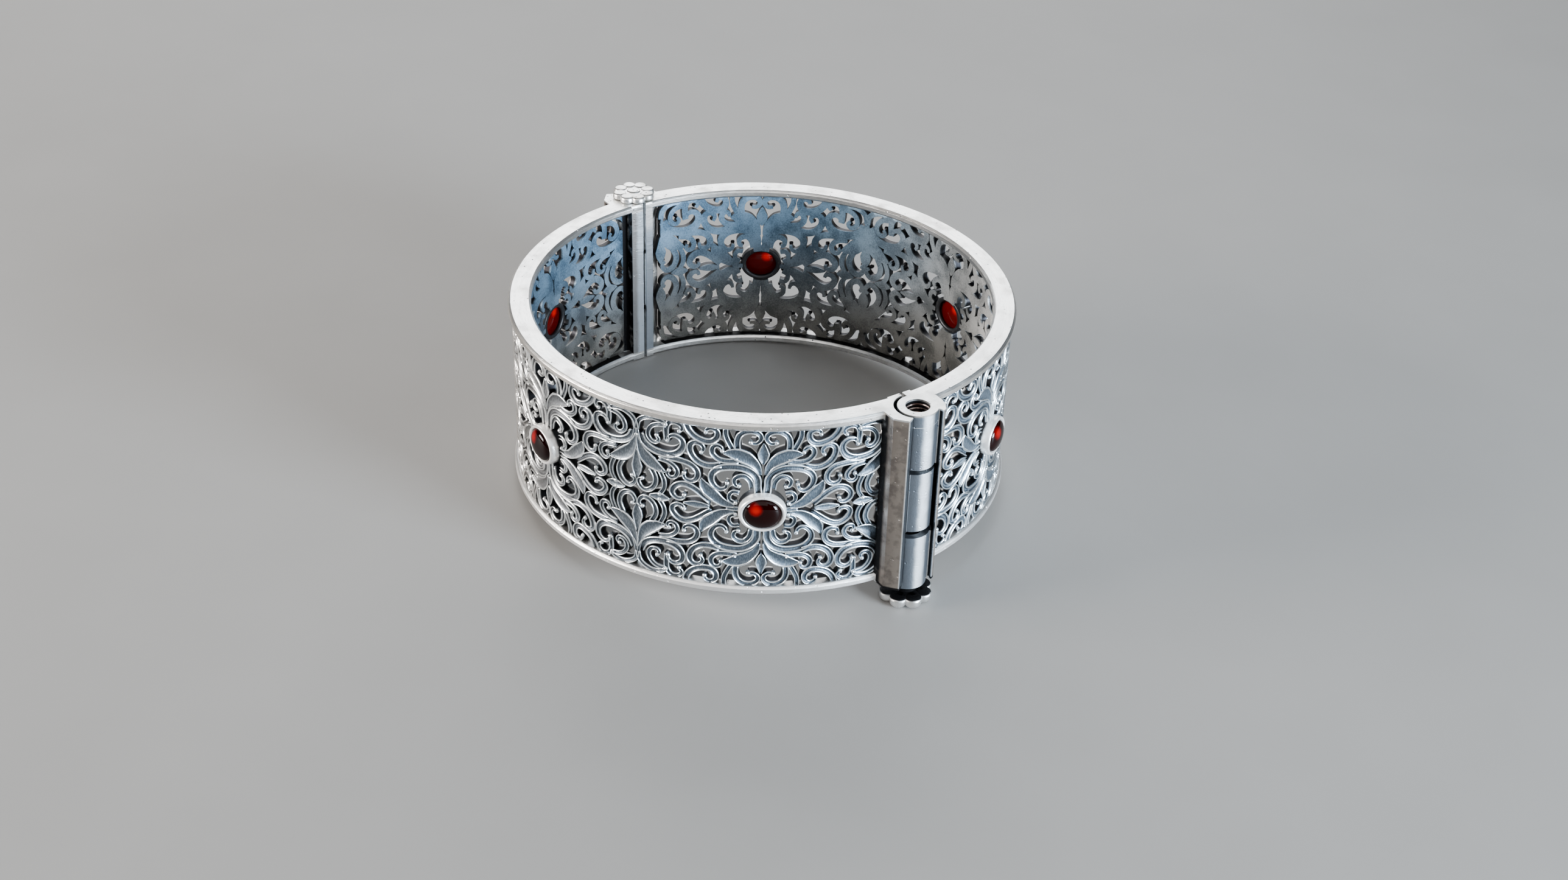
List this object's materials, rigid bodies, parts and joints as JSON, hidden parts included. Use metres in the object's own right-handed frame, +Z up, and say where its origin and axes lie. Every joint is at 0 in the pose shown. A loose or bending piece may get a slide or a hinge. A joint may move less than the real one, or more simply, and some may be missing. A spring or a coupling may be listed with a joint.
{
  "type": "bangle",
  "caption": "Rigid hinged bangle of pierced scrollwork with oval red stones in bezels, a screw hinge and a screw clasp with flower heads",
  "frame": {"origin": "on the ring's axis, at the level of the lowest point, which is the underside of the clasp screw's head", "axes": "+Z up along the ring's axis, +X from the hinge to the clasp, +Y from the front half to the back half"},
  "size_m": [0.072, 0.0674, 0.0286],
  "materials": {
    "worn_silver": "silver rubbed bright on edges, scratched and pitted, darker in corners",
    "dark_silver": "cast silver with bright ridges and leaves and blackened recesses",
    "bright_silver": "smooth rubbed silver, slightly uneven",
    "red_stone": "polished domed stone, deep clear red"
  },
  "bodies": {
    "front_half": {"front_frame": "worn_silver", "front_openwork": "dark_silver", "setting_1": "bright_silver", "setting_2": "bright_silver", "setting_3": "bright_silver", "stone_1": "red_stone", "stone_2": "red_stone", "stone_3": "red_stone", "hinge_screw": "worn_silver"},
    "back_half": {"back_frame": "worn_silver", "back_openwork": "dark_silver", "setting_4": "bright_silver", "setting_5": "bright_silver", "setting_6": "bright_silver", "stone_4": "red_stone", "stone_5": "red_stone", "stone_6": "red_stone"},
    "clasp_pin": {"clasp_screw": "worn_silver"}
  },
  "joints": [
    {"name": "hinge_swing", "type": "hinge", "parent": "front_half", "child": "back_half", "pos_m": [-0.0325, 0, 0.0154], "axis": [0, 0, 1], "range_deg": [0, 75]},
    {"name": "clasp_screw_out", "type": "slide", "parent": "back_half", "child": "clasp_pin", "axis": [0, 0, -1], "range_m": [0, 0.01]}
  ]
}
